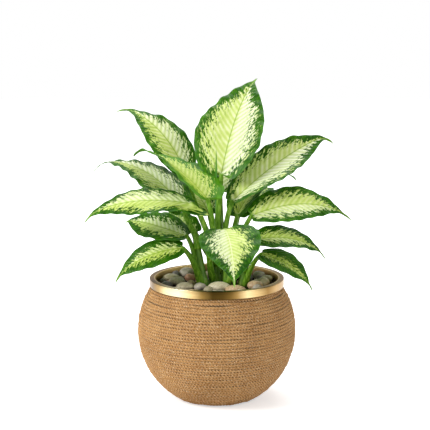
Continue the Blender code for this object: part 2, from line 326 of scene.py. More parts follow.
pot = {
    "bellyRadius": 125.0,
    "bellyHeight": 110.0,
    "ropeFoot": 2.9,
    "ropeTop": 178.9,
    "ropeTopRadius": 101.9,
    "ropePitch": 4.75,
    "ropeRadius": 2.7,
    "layLength": 15.0,
    "stepLength": 1.6,
    "ropePieces": 3,
    "around": 9,  # points around the rope, three to a strand
    "strandReach": (1.06, 0.96, 0.82),  # from a strand's crest down to the groove beside it
    # 1 at a strand's crest down to 0 in its groove; the rope's material paints a highlight on the crests and
    # shade in the grooves from it
    "strandCrest": (1.0, 0.6, 0.0),
}


def ropeSpine(share):  # the winding's centre, as radius and height, from the foot up to the rim
    reach = pot["bellyRadius"] - pot["ropeRadius"]
    first = math.asin((pot["ropeFoot"] - pot["bellyHeight"]) / reach)
    last = math.asin((pot["ropeTop"] - pot["bellyHeight"]) / reach)
    angle = first + (last - first) * share
    return reach * math.cos(angle), pot["bellyHeight"] + reach * math.sin(angle), (last - first) * reach


def ropePlaces(turns):  # the turns done and the length run at each ring of the rope
    places, turned, run = [], 0.0, 0.0
    while turned < turns:
        places.append((turned, run))
        run += pot["stepLength"]
        turned += pot["stepLength"] / (2 * math.pi * ropeSpine(turned / turns)[0])
    return places


def ropeRing(turned, run, turns):  # each point with its run, how near it is to its strand's crest and its cheek, from which the material paints highlight and shade
    angle = 2 * math.pi * turned
    radius, height, _ = ropeSpine(turned / turns)
    drift = Vector((math.cos(angle) * 2.4, math.sin(angle) * 2.4, turned * 0.8))
    ragged = 0.9 + 0.9 * min(max((height - 128) / 45, 0.0), 1.0)
    wobble = noise.noise(drift) * ragged
    thick = pot["ropeRadius"] * (1.03 + 0.2 * noise.noise(drift * 1.7 + Vector((5, 0, 0))))
    lift = 0.7 * noise.noise(drift * 2.3 + Vector((0, 9, 0)))
    out, up = Vector((math.cos(angle), math.sin(angle), 0.0)), Vector((0, 0, 1))
    climb = (height - pot["bellyHeight"]) / (pot["bellyRadius"] - pot["ropeRadius"])
    slope = math.asin(max(-1, min(1, climb)))
    outward = out * math.cos(slope) + up * math.sin(slope)
    upward = up * math.cos(slope) - out * math.sin(slope)
    centre = out * radius + Vector((0, 0, height)) + upward * wobble + outward * lift
    twist = -2 * math.pi * run / pot["layLength"]
    ring = []
    for k in range(pot["around"]):
        strand = k % 3
        fuzz = 1 + 0.1 * noise.noise(Vector((run * 0.55, k * 2.7, 0)))
        reach = thick * pot["strandReach"][strand] * fuzz
        around = 2 * math.pi * k / pot["around"] + twist
        spot = centre + (outward * math.cos(around) + upward * math.sin(around)) * reach
        ring.append((spot * mm, run * mm, pot["strandCrest"][strand], abs(math.sin(around))))
    return ring


def makeRope(material):
    turns = round(ropeSpine(0)[2] / pot["ropePitch"])
    places = ropePlaces(turns)
    cut = math.ceil(len(places) / pot["ropePieces"])
    for number in range(pot["ropePieces"]):
        share = places[max(number * cut - 1, 0):(number + 1) * cut]
        rows = [row for turned, run in share for row in ropeRing(turned, run, turns)]
        points, lengths, tones, cheeks = (list(column) for column in zip(*rows))
        piece = meshPiece("rope_winding_%d" % (number + 1), points, tubeFaces(len(share), pot["around"]),
                          {"run": lengths, "ridge": tones, "cheek": cheeks})
        settle(piece, material, ["rope_winding"] if number == 0 else ())


def ropeMaterial():
    paint = Paint("twistedFibre")
    place = paint.place()
    run = paint.attribute("run")
    ridge = paint.attribute("ridge")
    cheek = paint.attribute("cheek")
    broad = paint.noise(place, 26.0, 3.0, 0.6)
    fine = paint.noise(paint.stretched(place, (1.0, 1.0, 1.5)), 430.0, 3.0, 0.65)
    flecks = paint.noise(paint.joined(run * 620.0, ridge * 2.0, broad * 3.0), 1.0, 2.0, 0.6)
    tone = (broad * 0.3 + fine * 0.45 + flecks * 0.45 - 0.1).clamped()
    colour = paint.ramp(tone, [
        (0.25, shade(126, 82, 42)), (0.42, shade(168, 120, 68)), (0.58, shade(200, 152, 94)),
        (0.8, shade(234, 198, 144)),
    ])
    # painted highlight: the strands' crests near the seams between turns are painted light beige
    paintedHighlight = ridge.smooth(0.3, 0.8) * cheek.smooth(0.45, 0.95)
    colour = paint.mix(paintedHighlight * 0.55, colour, shade(240, 208, 160))
    # painted shade: the grooves between strands are painted darker, darkest as dark holes at the seams
    # between turns
    grooveShade = ridge.smooth(0.75, 0.1) * cheek.smooth(0.3, 0.8) * flecks.smooth(0.3, 0.5)
    colour = paint.mix((grooveShade * 0.95 + ridge.smooth(0.7, 0.0) * 0.12).clamped(), colour, shade(78, 46, 22))
    specks = paint.noise(place, 620.0, 2.0, 0.7)
    colour = paint.mix(specks.smooth(0.56, 0.68) * 0.7, colour, shade(250, 228, 190))
    colour = paint.mix(specks.smooth(0.43, 0.32) * 0.6, colour, shade(112, 72, 40))
    normal = paint.bump(fine * 0.4 + flecks * 0.3 + specks * 0.3, 0.0009, 0.8)
    return paint.finish(colour=colour, roughness=0.82, specular=0.25, normal=normal)


rim = {
    "outer": 106.0, "inner": 97.0, "top": 194.0, "bandFoot": 181.6, "skirtFoot": 178.0, "sheet": 1.3,
    "bands": [  # degrees from the front, and the tone there: bright and dark bands painted around the rim as painted reflections
        (-90, (160, 126, 78)), (-70, (112, 86, 48)), (-58, (176, 144, 90)), (-48, (240, 220, 172)),
        (-34, (246, 232, 196)), (-22, (222, 192, 134)), (-12, (138, 110, 58)), (-3, (56, 43, 14)),
        (5, (66, 50, 18)), (12, (104, 80, 36)), (18, (160, 128, 74)), (27, (236, 212, 158)),
        (36, (212, 182, 126)), (47, (150, 116, 64)), (60, (196, 162, 108)), (90, (164, 130, 80)),
        (130, (214, 180, 120)), (170, (150, 120, 66)), (200, (224, 196, 140)), (235, (160, 126, 72)),
        (262, (176, 142, 90)),
    ],
}


def makeRim(material):
    deselectAll()
    x, z = rim["outer"] * mm, rim["bandFoot"] * mm
    bpy.ops.mesh.primitive_plane_add(size=1.0, location=(0, 0, 0))
    piece = bpy.context.object
    piece.name = "brass_rim_sheet"
    bpy.ops.object.mode_set(mode="EDIT")
    bpy.ops.mesh.merge(type="CENTER")
    bpy.ops.transform.translate(value=(x, 0, z))
    route = [(rim["outer"], rim["top"]), (rim["inner"], rim["top"]), (rim["inner"], rim["skirtFoot"])]
    here = (rim["outer"], rim["bandFoot"])
    for there in route:
        move = ((there[0] - here[0]) * mm, 0, (there[1] - here[1]) * mm)
        bpy.ops.mesh.extrude_region_move(TRANSFORM_OT_translate={"value": move})
        here = there
    bpy.ops.mesh.select_all(action="SELECT")
    bpy.ops.mesh.spin(steps=192, angle=2 * math.pi, center=(0, 0, 0), axis=(0, 0, 1))
    bpy.ops.mesh.select_all(action="SELECT")
    bpy.ops.mesh.remove_doubles(threshold=0.00001)
    bpy.ops.mesh.normals_make_consistent(inside=False)
    bpy.ops.object.mode_set(mode="OBJECT")
    outermost = min(piece.data.polygons, key=lambda f: abs(f.normal.z) * 9 - f.center.xy.length)
    if outermost.normal.dot(Vector((outermost.center.x, outermost.center.y, 0))) < 0:
        piece.data.flip_normals()
    wall = piece.modifiers.new("wall", "SOLIDIFY")
    wall.thickness = rim["sheet"] * mm
    wall.offset = -1.0
    soft = piece.modifiers.new("soft", "BEVEL")
    soft.width = 0.7 * mm
    soft.segments = 3
    soft.limit_method = "ANGLE"
    for name in ("wall", "soft"):
        bpy.ops.object.modifier_apply(modifier=name)
    piece.data.shade_smooth()
    return settle(piece, material, ["brass_rim"])


def brassMaterial():
    paint = Paint("brushedBrass")
    place = paint.place()
    x, y, z = paint.split(place)
    around = paint.node("ShaderNodeMath", {"operation": "ARCTAN2"}, {0: y, 1: x})[0]
    radius = (x * x + y * y) ** 0.5
    lines = paint.noise(paint.joined(around * 3.0, z * 2600.0, radius * 2600.0), 1.0, 3.0, 0.6)
    patina = paint.noise(place, 22.0, 4.0, 0.6)
    turn = (around + patina * 0.10 - 0.05) / (2 * math.pi) + 0.5
    # painted reflections: bright and dark bands painted around the rim by angle, fixed to the rim
    colour = paint.ramp(turn, [(0.25 + angle / 360, shade(*tone)) for angle, tone in rim["bands"]])
    colour = paint.mix(lines.smooth(0.62, 0.42) * 0.22, colour, shade(112, 84, 36))
    # painted highlight: the inner wall is painted an even bright brass
    colour = paint.mix(radius.smooth(0.1, 0.0975), colour, shade(246, 214, 150))
    roughness = lines * 0.14 + patina * 0.1 + 0.2
    normal = paint.bump(lines, 0.00012, 0.6)
    return paint.finish(colour=colour, roughness=roughness, metallic=1.0, normal=normal)


def bowlMaterial():
    paint = Paint("bareBowl")
    place = paint.place()
    grain = paint.noise(place, 160.0, 4.0, 0.6)
    stain = paint.noise(place, 18.0, 3.0, 0.5)
    colour = paint.ramp(grain * 0.5 + stain * 0.5, [(0.3, shade(120, 104, 84)), (0.7, shade(166, 148, 122))])
    return paint.finish(colour=colour, roughness=0.75, normal=paint.bump(grain, 0.0003, 0.5))


print("stage: pot")
makeRope(ropeMaterial())
makeRim(brassMaterial())
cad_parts["pot_bowl"].data.materials.clear()
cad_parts["pot_bowl"].data.materials.append(bowlMaterial())


bed = {
    "top": 177.0, "radius": 96.6, "depth": 6.0, "insets": 26, "insetStep": 3.4,
    "lump": 1.6, "mound": 6.5, "moundReach": 34.0, "crumbs": 620, "crumbSize": (0.7, 1.9),
}


def soilHeight(x, y):  # millimetres above the soil's mean level
    spot = Vector((x * 0.06, y * 0.06, 4.0))
    mound = bed["mound"] * math.exp(-((x - 8) ** 2 + (y - 6) ** 2) / bed["moundReach"] ** 2)
    return mound + bed["lump"] * noise.noise(spot) + 0.9 * noise.noise(spot * 4.5)


def makeSoil(material):
    deselectAll()
    bpy.ops.mesh.primitive_cylinder_add(vertices=96, radius=bed["radius"] * mm, depth=bed["depth"] * mm,
                                        location=(0, 0, (bed["top"] - bed["depth"] / 2) * mm))
    piece = bpy.context.object
    piece.name = "soil_bed"
    bpy.ops.object.transform_apply(location=True, rotation=False, scale=False)
    bpy.ops.object.mode_set(mode="EDIT")
    bm = bmesh.from_edit_mesh(piece.data)
    for face in bm.faces:
        face.select_set(face.normal.z > 0.9)
    bmesh.update_edit_mesh(piece.data)
    for _ in range(bed["insets"]):
        bpy.ops.mesh.inset(thickness=bed["insetStep"] * mm)
    bpy.ops.mesh.select_all(action="SELECT")
    bpy.ops.object.mode_set(mode="OBJECT")
    for v in piece.data.vertices:
        x, y = v.co.x / mm, v.co.y / mm
        if v.co.z > (bed["top"] - 0.5) * mm and math.hypot(x, y) < bed["radius"] - 1:
            v.co.z += soilHeight(x, y) * mm
    piece.data.shade_smooth()
    return settle(piece, material, ["soil"])


def scatterCrumbs(material):
    rng = random.Random(11)
    bm = bmesh.new()
    for _ in range(bed["crumbs"]):
        angle, far = rng.uniform(0, 2 * math.pi), bed["radius"] * 0.97 * math.sqrt(rng.random())
        x, y = far * math.cos(angle), far * math.sin(angle)
        made = bmesh.ops.create_icosphere(bm, subdivisions=1, radius=rng.uniform(*bed["crumbSize"]) * mm)
        spot = Vector((x, y, bed["top"] + soilHeight(x, y) + 0.4)) * mm
        turn = Matrix.Rotation(rng.uniform(0, 6), 3, Vector((rng.random(), rng.random(), 1)))
        for v in made["verts"]:
            v.co = turn @ (v.co * rng.uniform(0.75, 1.2)) + spot
    mesh = bpy.data.meshes.new("soil_crumbs")
    bm.to_mesh(mesh)
    bm.free()
    piece = bpy.data.objects.new("soil_crumbs", mesh)
    bpy.context.scene.collection.objects.link(piece)
    return settle(piece, material)


def soilMaterial():
    paint = Paint("dampSoil")
    place = paint.place()
    grains = paint.noise(place, 700.0, 4.0, 0.7)
    lumps = paint.noise(place, 120.0, 3.0, 0.6)
    colour = paint.ramp(grains * 0.6 + lumps * 0.4, [
        (0.35, shade(24, 16, 11)), (0.55, shade(46, 31, 22)), (0.72, shade(78, 56, 40)),
    ])
    return paint.finish(colour=colour, roughness=0.93, specular=0.2, normal=paint.bump(grains, 0.0008, 0.8))


stones = {
    "colours": {
        "slate": (shade(92, 88, 84), shade(128, 122, 114)),
        "grey": (shade(142, 134, 120), shade(184, 174, 156)),
        "sand": (shade(164, 152, 124), shade(206, 194, 164)),
        "tan": (shade(176, 146, 112), shade(216, 188, 150)),
        "rust": (shade(158, 116, 88), shade(196, 152, 120)),
        "olive": (shade(142, 132, 104), shade(182, 172, 142)),
        "cream": (shade(188, 176, 146), shade(222, 212, 182)),
    },
    "order": [
        "slate", "grey", "olive", "rust", "olive", "slate", "sand", "tan", "grey", "olive", "cream", "tan",
        "tan", "rust", "slate", "grey", "olive", "sand", "grey", "tan", "grey", "slate", "sand", "grey",
        "olive", "sand", "tan", "grey", "cream",
    ],
    "fillers": 16,
    "fillerSize": (3.6, 6.4),
    "fillerTints": ("slate", "grey", "tan", "sand", "rust", "olive"),
    "fillersBehind": 15.0,
    "swell": (1.08, 1.08, 1.14),
    "lift": 0.12,
}


def stoneMaterial(name, seed):
    low, high = stones["colours"][name]
    paint = Paint("stone_%s_%d" % (name, seed))
    place = paint.stretched(paint.place(), (1, 1, 1), (seed * 0.7, seed * 0.4, seed * 1.1))
    cloud = paint.noise(place, 95.0, 4.0, 0.6)
    specks = paint.noise(place, 900.0, 2.0, 0.7)
    bands = paint.noise(paint.stretched(place, (40.0, 40.0, 420.0)), 1.0, 3.0, 0.55, 0.4)
    tone = (cloud * 0.5 + bands * 0.35 + specks * 0.25 - 0.05).clamped()
    tones = [(0.3, low, 0.78), (0.45, low, 1.2), (0.62, high, 1.15), (0.8, high, 1.25)]
    colour = paint.ramp(tone, [(spot, tuple(c * gain for c in tint)) for spot, tint, gain in tones])
    normal = paint.bump(cloud * 0.6 + specks * 0.4, 0.0004, 0.5)
    return paint.finish(colour=colour, roughness=cloud * 0.25 + 0.32, normal=normal)


def makeStone(name, centre, sizes, turn, seed, material, nodes=(), detail=4):
    deselectAll()
    bpy.ops.mesh.primitive_ico_sphere_add(subdivisions=detail, radius=1.0, location=(0, 0, 0))
    piece = bpy.context.object
    piece.name = name
    bpy.ops.object.mode_set(mode="EDIT")
    bpy.ops.transform.resize(value=sizes)
    bpy.ops.object.mode_set(mode="OBJECT")
    spin = Matrix.Rotation(turn, 3, "Z")
    for v in piece.data.vertices:
        way = v.co.normalized()
        spot = way * 1.2 + Vector((seed * 5.3, 0, 0))
        bulge = 1 + 0.11 * noise.noise(spot) + 0.03 * noise.noise(spot * 2.6)
        square = 1 - 0.05 * (abs(way.x * way.y) + abs(way.y * way.z))
        v.co = spin @ (v.co * bulge * square) + Vector(centre)
    piece.data.shade_smooth()
    return settle(piece, material, nodes)


def makeStones():
    names = sorted(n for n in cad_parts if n.startswith("pebble_"))
    taken = []
    for index, node in enumerate(names):
        low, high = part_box(node)
        centre = (low + high) / 2
        half = (high - low) / 2
        material = stoneMaterial(stones["order"][index], index)
        swell = stones["swell"]
        sizes = (half.x * swell[0], half.y * swell[1], half.z * swell[2])
        centre.z += half.z * stones["lift"]
        makeStone(node + "_stone", centre, sizes, 0.0, index + 1, material, [node])
        taken.append((centre.x, centre.y, max(half.x, half.y)))
    scatterSmallStones(taken)


def scatterSmallStones(taken):
    rng = random.Random(23)
    stems = []
    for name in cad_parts:
        if name.startswith("cane_"):
            low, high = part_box(name)
            stems.append(((low.x + high.x) / 2, (low.y + high.y) / 2))
    tints = [stoneMaterial(t, 60 + i) for i, t in enumerate(stones["fillerTints"])]
    made = 0
    for _ in range(4000):
        if made >= stones["fillers"]:
            break
        size = rng.uniform(*stones["fillerSize"]) * mm
        angle, far = rng.uniform(0, 2 * math.pi), (bed["radius"] - 2) * mm - size
        far = far * math.sqrt(rng.random())
        x, y = far * math.cos(angle), far * math.sin(angle)
        if any(math.hypot(x - a, y - b) < 0.86 * (size + r) for a, b, r in taken):
            continue
        if y < stones["fillersBehind"] * mm:
            continue
        if any(math.hypot(x - a, y - b) < size + 9 * mm for a, b in stems):
            continue
        tall = size * rng.uniform(0.6, 0.75)
        sizes = (size, size * rng.uniform(0.75, 0.95), tall)
        z = (bed["top"] + 0.6) * mm + tall
        makeStone("pebble_small_%02d" % (made + 1), (x, y, z), sizes, rng.uniform(0, 3), made + 40,
                  tints[made % len(tints)], detail=3)
        taken.append((x, y, size))
        made += 1
    print("small pebbles:", made)


print("stage: soil and pebbles")
soil = soilMaterial()
makeSoil(soil)
scatterCrumbs(soil)
makeStones()


canes = {  # foot, head, radius at the foot and at the head
    "cane_main": ((-4, 6), (2, 10, 258), 9.0, 5.5),
    "cane_left": ((-19, -7), (-30, -6, 243), 7.0, 5.0),
    "cane_front": ((16, -14), (15, -16, 212), 6.0, 4.5),
    "cane_right": ((39, -7), (44, -10, 206), 7.0, 5.5),
    "cane_back": ((8, 34), (8, 38, 236), 7.0, 5.0),
}
caneShape = {"nodeGap": 17.0, "rings": 90, "around": 28, "sunk": 4.0}


def caneAt(name, height):
    (footX, footY), (headX, headY, headZ), thick, thin = canes[name]
    share = (height - bed["top"]) / (headZ - bed["top"])
    spot = Vector((footX, footY, bed["top"])).lerp(Vector((headX, headY, headZ)), share)
    return spot, thick + (thin - thick) * min(max(share, 0.0), 1.0)


def makeCane(name, material):
    headZ = canes[name][1][2]
    rings, around = caneShape["rings"], caneShape["around"]
    gap, foot = caneShape["nodeGap"], bed["top"] - caneShape["sunk"]
    points, ups = [], []
    for i in range(rings):
        height = foot + (headZ - foot) * i / (rings - 1)
        spot, radius = caneAt(name, height)
        beat = (height - bed["top"]) / gap
        scar = math.exp(-((beat - round(beat)) * gap / 1.4) ** 2)
        swell = 1 + 0.04 * scar + 0.22 * math.exp(-((height - bed["top"] - 6) / 11) ** 2)
        dome = math.sqrt(max(1 - max(0.0, (height - headZ + 2.5) / 2.6) ** 2, 0.02))
        for k in range(around):
            angle = 2 * math.pi * k / around
            way = Vector((math.cos(angle), math.sin(angle), 0))
            lumpy = 1 + 0.04 * noise.noise(way * 1.5 + Vector((0, 0, height * 0.05)))
            points.append((spot + way * radius * swell * dome * lumpy) * mm)
            ups.append(height * mm)
    piece = meshPiece(name + "_stem", points, tubeFaces(rings, around), {"up": ups})
    return settle(piece, material, [name])


def caneMaterial():
    paint = Paint("greenCane")
    place = paint.place()
    up = paint.attribute("up")
    streaks = paint.noise(paint.stretched(place, (380.0, 380.0, 26.0)), 1.0, 3.0, 0.6)
    cloud = paint.noise(place, 70.0, 3.0, 0.5)
    gap = caneShape["nodeGap"] * mm
    beat = ((up - bed["top"] * mm) / gap * 2 * math.pi + math.pi).sine()
    green = paint.ramp(streaks * 0.5 + cloud * 0.5, [
        (0.3, shade(58, 96, 8)), (0.5, shade(92, 138, 24)), (0.7, shade(142, 176, 62)),
    ])
    foot = up.smooth(0.197, 0.178)
    colour = paint.mix(foot * 0.6 * cloud.smooth(0.4, 0.7), green, shade(120, 100, 52))
    height = streaks * 0.4 + cloud * 0.3 + beat * 0.05
    return paint.finish(colour=colour, roughness=0.48, normal=paint.bump(height, 0.0005, 0.4))


def leafRow(cane, node, base, heading, rise, size, roll, fold, tip, foot, cream, pale, fresh, ear=0.0):
    return {
        "cane": cane, "node": node,  # where it grows: the cane and the height on it
        "base": base,  # where the blade starts
        "heading": heading,  # the way it points, and its sway
        "rise": rise,  # the slope at the base, and the droop
        "size": size,  # length and width
        "roll": roll,  # the turn about the midrib, and the twist
        "fold": fold,  # how far the halves are raised
        "tip": tip,  # the tail's share, its hook and its half width
        "foot": foot,  # the petiole's radius
        "cream": cream, "pale": pale, "fresh": fresh,  # how wide and pale the cream is (pale also sets the painted sheen), how fresh the green
        "ear": ear,  # a lobe beside the petiole
    }


leaves = {
    "leaf_crown": leafRow("cane_main", 258, (7, 14, 354), (65, -6), (65, 34), (193, 115), (-5, -2),
                          16, (0.07, 14, 2.0), 5.2, 0.72, 0.8, 0.15),
    "leaf_upper_left": leafRow("cane_main", 232, (-49, 71, 348), (146, 7), (61, 54), (174, 73), (22, 3),
                               7, (0.16, 37, 4.2), 4.0, 0.66, 0.55, 0.25),
    "leaf_curled_left": leafRow("cane_main", 220, (-14, -39, 324), (129, 22), (35, 25), (174, 107), (-7, -9),
                                25, (0.24, 64, 9.0), 4.0, 0.56, 0.1, 0.9),
    "leaf_mid_left": leafRow("cane_left", 243, (-52, 11, 298), (150, 15), (52, 70), (187, 86), (19, -19),
                             6, (0.15, 43, 4.2), 4.4, 0.62, 0.7, 0.1),
    "leaf_broad_left": leafRow("cane_main", 194, (-37, -42, 318), (177, -8), (9, 41), (181, 71), (12, 34),
                               5, (0.10, 28, 2.4), 3.8, 0.66, 0.45, 0.0, 1.0),
    "leaf_low_left": leafRow("cane_left", 212, (-47, -7, 261), (161, -36), (16, 26), (131, 65), (17, 28),
                             9, (0.08, 17, 2.0), 3.6, 0.54, 0.6, 0.15),
    "leaf_bottom_left": leafRow("cane_left", 187, (-53, -27, 246), (186, -11), (-5, 50), (124, 56), (34, 6),
                                9, (0.10, 11, 2.4), 5.0, 0.42, 0.25, 0.1),
    "leaf_front": leafRow("cane_front", 212, (13, -50, 279), (280, -8), (-8, 52), (137, 96), (-8, 11),
                          14, (0.10, -21, 2.4), 3.8, 0.58, 0.6, 0.0),
    "leaf_upper_right": leafRow("cane_main", 236, (24, 2, 314), (25, 10), (39, 28), (218, 82), (-6, -50),
                                17, (0.10, 57, 2.4), 4.4, 0.74, 0.75, 0.1),
    "leaf_behind_right": leafRow("cane_main", 206, (32, 20, 288), (47, -6), (53, 80), (160, 72), (1, 0),
                                 26, (0.14, 21, 4.0), 3.8, 0.5, 0.2, 0.2),
    "leaf_broad_right": leafRow("cane_front", 196, (54, -15, 295), (7, 13), (21, 59), (175, 73), (-32, -16),
                                12, (0.14, 12, 2.4), 4.0, 0.60, 0.5, 0.1),
    "leaf_low_right": leafRow("cane_right", 206, (59, -25, 259), (-1, 4), (11, 61), (125, 57), (-31, 13),
                              11, (0.13, 21, 2.4), 3.8, 0.46, 0.3, 0.0),
    "leaf_bottom_right": leafRow("cane_right", 190, (69, -30, 237), (-24, 0), (-9, 48), (104, 56), (-20, 11),
                                 9, (0.12, 14, 2.4), 3.8, 0.26, 0.1, 0.2),
    "leaf_back_high": leafRow("cane_back", 236, (6, 50, 322), (85, 8), (42, 62), (165, 78), (0, 0),
                              14, (0.10, 12, 2.4), 4.2, 0.62, 0.5, 0.2),
    "leaf_back_left": leafRow("cane_back", 216, (-12, 60, 284), (114, 6), (35, 62), (150, 66), (4, 0),
                              13, (0.10, 12, 2.4), 3.8, 0.52, 0.3, 0.3),
    "leaf_back_right": leafRow("cane_back", 220, (34, 48, 282), (66, -8), (35, 62), (150, 66), (-4, 0),
                               13, (0.10, 12, 2.4), 3.8, 0.52, 0.3, 0.3),
    "leaf_back_outer_left": leafRow("cane_back", 196, (-34, 42, 258), (138, -4), (26, 56), (128, 58), (6, 0),
                                    12, (0.10, 12, 2.4), 3.4, 0.46, 0.3, 0.3),
    "leaf_back_outer_right": leafRow("cane_back", 192, (44, 36, 246), (48, 6), (14, 60), (110, 54), (-6, 0),
                                     12, (0.10, 12, 2.4), 3.4, 0.42, 0.3, 0.3),
    "leaf_back_low": leafRow("cane_back", 186, (10, 62, 240), (86, -6), (8, 66), (122, 58), (0, 0),
                             12, (0.10, 12, 2.4), 3.4, 0.42, 0.3, 0.2),
}
blade = {
    "roundness": 0.70, "fullness": 0.75, "tipNarrow": 0.50, "lobe": 0.24,
    "thickness": 0.8, "ribDepth": 1.6, "ribWidth": 1.7,
    "veinLean": 0.85, "veinCurve": 0.007, "pleat": 0.6, "wave": 0.026, "scallop": 21.0,
    "tailOverlap": 0.8, "hookStart": 0.8, "hookGrowth": 1.2,
    "stalkHead": 3.5, "stalkRings": 26, "rings": 120, "across": 40, "lineSteps": 200, "join": 0.035,
}


def halfWidth(t, leaf):
    tail = leaf["tip"][0]
    share = min(t / (1 - blade["tailOverlap"] * tail), 1.0)
    full = math.sin(math.pi * share ** blade["roundness"]) ** blade["fullness"] if share < 1 else 0.0
    body = leaf["size"][1] / 2 * full * (1 - blade["tipNarrow"] * share ** 6)
    thin = leaf["tip"][2] * min(max((1 - t) / tail, 0.02), 1.0) ** 0.5
    thin *= min(max((t - 0.3) / 0.3, 0.0), 1.0)
    return max((body ** 3 + thin ** 3) ** (1 / 3), 0.25)


def bladeFrame(leaf, t):
    (heading, sway), (rise, droop), (roll, twist) = leaf["heading"], leaf["rise"], leaf["roll"]
    bent = max(0.0, (t - blade["hookStart"]) / (1 - blade["hookStart"]))
    hook = leaf["tip"][1] * bent ** blade["hookGrowth"]
    turn = math.radians(heading + sway * t)
    pitch = math.radians(rise - droop * t ** 1.3 - hook)
    along = Vector((math.cos(pitch) * math.cos(turn), math.cos(pitch) * math.sin(turn), math.sin(pitch)))
    level = Vector((math.sin(turn), -math.cos(turn), 0.0))
    rolled = Matrix.Rotation(-math.radians(roll + twist * t), 3, along)
    return along, rolled @ level, rolled @ level.cross(along)


def bezier(p0, p1, p2, p3, t):
    s = 1.0 - t
    return p0 * s ** 3 + p1 * 3 * s * s * t + p2 * 3 * s * t * t + p3 * t ** 3


def stalkLine(leaf, count):
    base, radius = Vector(leaf["base"]), leaf["foot"]
    axis, caneRadius = caneAt(leaf["cane"], leaf["node"])
    outward = Vector((base.x - axis.x, base.y - axis.y, 0.0)).normalized()
    if leaf["node"] >= canes[leaf["cane"]][1][2]:
        start, leave = axis + Vector((0, 0, -2.0)), Vector((0, 0, 1))
    else:
        start = axis + outward * max(caneRadius - radius * 1.2, 0.0) - Vector((0, 0, 7.0))
        leave = (outward * 0.55 + Vector((0, 0, 1))).normalized()
    arrive = (bladeFrame(leaf, 0.0)[0] + Vector((0, 0, 1.0))).normalized()
    reach = (base - start).length
    first, second = start + leave * reach * 0.35, base - arrive * reach * 0.35
    return [bezier(start, first, second, base, i / count) for i in range(count)]


def framesBack(points, firstSide):
    found = []
    side = Vector(firstSide)
    last = len(points) - 1
    for i in range(last, -1, -1):
        tangent = (points[min(i + 1, last)] - points[max(i - 1, 0)]).normalized()
        side = (side - tangent * side.dot(tangent)).normalized()
        found.append((tangent, side.copy(), side.cross(tangent)))
    return found[::-1]


def bladePoint(leaf, t, v, top, centre, seed):
    length, width = leaf["size"]
    along, side, normal = bladeFrame(leaf, t)
    half = halfWidth(t, leaf)
    fold = math.radians(leaf["fold"]) * (1 - 0.5 * t)
    spread = math.sqrt(v * v + 0.012) - 0.11
    point = centre + side * (half * v * math.cos(fold)) + normal * (half * spread * math.sin(fold))
    reach = abs(v) * half
    run = t * length
    gap = 4.0 + 0.03 * length
    vein = (run - blade["veinLean"] * reach - blade["veinCurve"] * reach * reach) / gap
    fade = min(abs(v) / 0.25, 1.0) * max(0.0, 1 - abs(v) ** 4) * min(1.0, (1 - t) * 6) * min(1.0, half / 12)
    uneven = 1 + 0.9 * noise.noise(Vector((run * 0.03, reach * 0.05, seed * 2.3)))
    pleat = blade["pleat"] * math.cos(2 * math.pi * vein) * fade * uneven
    flank = 7 if v > 0 else 19
    ripple = 1.7 * noise.noise(Vector((run * 0.05, flank + seed * 3.7, 0.0)))
    ripple += 0.5 * math.sin(run * 2 * math.pi / blade["scallop"] + seed * flank)
    wave = blade["wave"] * width * ripple * abs(v) ** 3 * min(1.0, (1 - t) * 4) * min(1.0, t * 5)
    curlDown = -0.06 * half * v ** 4
    lobe = blade["lobe"] * width / 2 * (1 - t) ** 5
    if leaf["ear"] and v < 0:
        lobe += 30 * leaf["ear"] * math.exp(-(t / 0.08) ** 2)
        point -= Vector((0, 0, 9.0)) * (leaf["ear"] * v * v * math.exp(-((t - 0.05) / 0.06) ** 2))
    thin = blade["thickness"] * (1 - 0.35 * abs(v)) / 2
    point = point + normal * (pleat + wave + curlDown) - along * (lobe * v * v)
    groove = math.exp(-(reach / 0.9) ** 2) * 0.35
    if top:
        return point + normal * (thin - groove), vein, reach, run
    rib = blade["ribDepth"] * (1 - t) ** 0.8 * math.exp(-(reach / blade["ribWidth"]) ** 2)
    return point - normal * (thin + rib), vein, reach, run


def makeLeaf(name, leaf, seed, material):
    count = blade["across"]
    stalk = stalkLine(leaf, blade["stalkRings"])
    base = Vector(leaf["base"])
    frames = framesBack(stalk + [base], bladeFrame(leaf, 0.0)[1])
    points = []
    data = {"share": [], "across": [], "vein": [], "reach": [], "run": [], "top": [], "stalk": []}

    def note(**values):
        for key, value in values.items():
            data[key].append(value)

    for i, centre in enumerate(stalk + [base]):
        share = i / len(stalk)
        _, side, normal = frames[i]
        radius = leaf["foot"] * 1.25 * (1 - share) + blade["stalkHead"] * share
        radius *= 1 + 0.35 * math.exp(-(share / 0.2) ** 2)
        for j in range(2 * count):
            angle = math.pi * j / count
            channel = 1 - 0.2 * share * math.exp(-((angle - math.pi / 2) / 0.5) ** 2)
            way = side * math.cos(angle) + normal * math.sin(angle)
            points.append((centre + way * radius * channel) * mm)
            note(share=0.0, across=math.cos(angle), vein=0.0, reach=0.0, run=share, top=1.0, stalk=1.0)
    steps = blade["lineSteps"]
    line = [base.copy()]
    for i in range(steps):
        line.append(line[-1] + bladeFrame(leaf, (i + 0.5) / steps)[0] * (leaf["size"][0] / steps))
    for i in range(1, blade["rings"] + 1):
        t = (i / blade["rings"]) ** 1.1
        place = t * steps
        index = min(int(place), steps - 1)
        centre = line[index].lerp(line[index + 1], place - index)
        mixed = min(1.0, t / blade["join"])
        mixed = mixed * mixed * (3 - 2 * mixed)
        _, side, normal = bladeFrame(leaf, t)
        for j in range(2 * count):
            angle = math.pi * j / count
            top = j <= count
            v = math.cos(angle)
            v = math.copysign(abs(v) ** 0.85, v)
            spot, vein, reach, run = bladePoint(leaf, t, v, top, centre, seed)
            tube = centre + (side * math.cos(angle) + normal * math.sin(angle)) * blade["stalkHead"]
            points.append(tube.lerp(spot, mixed) * mm)
            note(share=t, across=v, vein=vein, reach=reach, run=run, top=1.0 if top else 0.0,
                 stalk=1.0 - mixed)
    piece = meshPiece(name + "_blade", points, tubeFaces(len(points) // (2 * count), 2 * count), data)
    faceOutward(piece)
    return settle(piece, material, [name])


